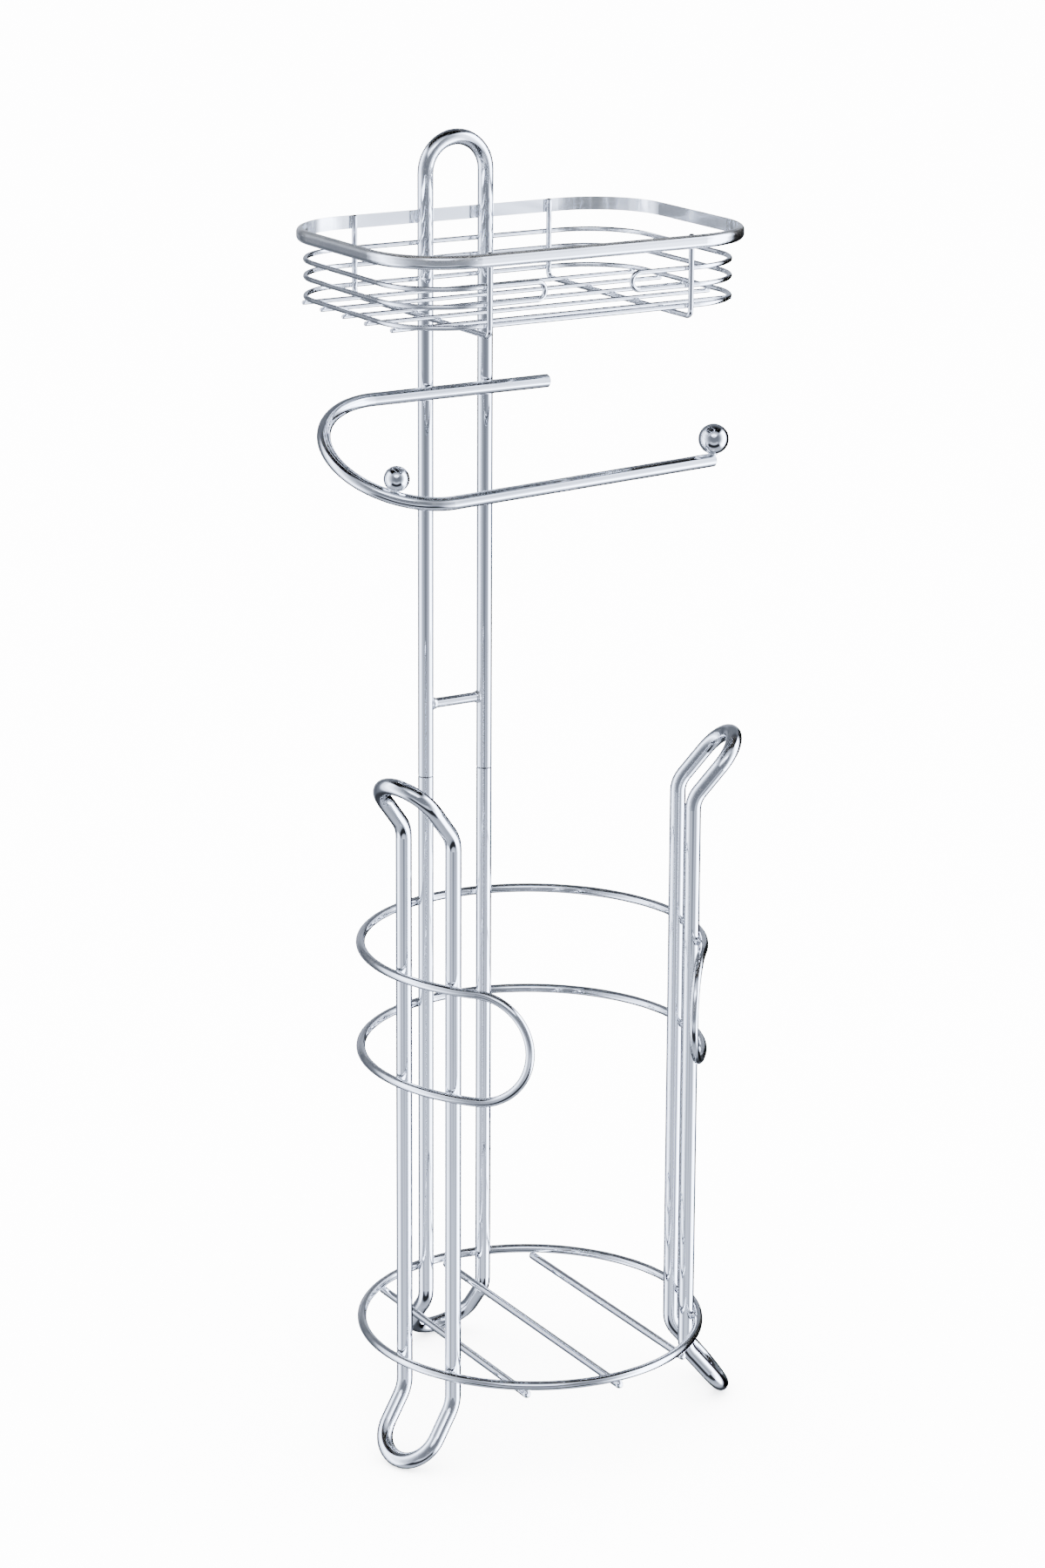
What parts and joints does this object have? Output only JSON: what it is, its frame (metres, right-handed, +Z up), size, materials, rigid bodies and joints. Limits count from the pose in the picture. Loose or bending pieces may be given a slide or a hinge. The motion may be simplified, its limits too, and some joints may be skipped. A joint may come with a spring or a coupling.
{
  "type": "toilet paper holder",
  "caption": "Free-standing chrome wire toilet paper holder with a roll arm, a round guard for spare rolls and a wire basket on top.",
  "frame": {"origin": "on the floor, under the centre of the low hoop", "axes": "+Z up, -Y to the front, +X to the right, where the roll arm's free end points"},
  "size_m": [0.1809, 0.1686, 0.5655],
  "materials": {
    "chrome": "polished"
  },
  "bodies": {
    "base": {"base_ring": "chrome", "tray_bar_left": "chrome", "tray_bar_centre": "chrome", "tray_bar_right": "chrome", "left_leg": "chrome", "right_leg": "chrome", "rear_leg": "chrome", "guard_rail": "chrome", "joining_pin_left": "chrome", "joining_pin_right": "chrome"},
    "mast": {"upper_frame": "chrome", "frame_rung": "chrome", "roll_arm": "chrome", "inner_stop_ball": "chrome", "outer_stop_ball": "chrome", "basket_rim": "chrome", "basket_side_wire": "chrome", "basket_base_hoop": "chrome", "basket_floor_wire_1": "chrome", "basket_floor_wire_2": "chrome", "basket_floor_wire_3": "chrome", "basket_floor_wire_4": "chrome", "basket_floor_wire_5": "chrome", "basket_cross_wire_left": "chrome", "basket_cross_wire_right": "chrome"}
  },
  "joints": [
    {"name": "upper_frame_lift", "type": "slide", "parent": "base", "child": "mast", "axis": [0, 0, 1], "range_m": [0, 0.022]}
  ]
}
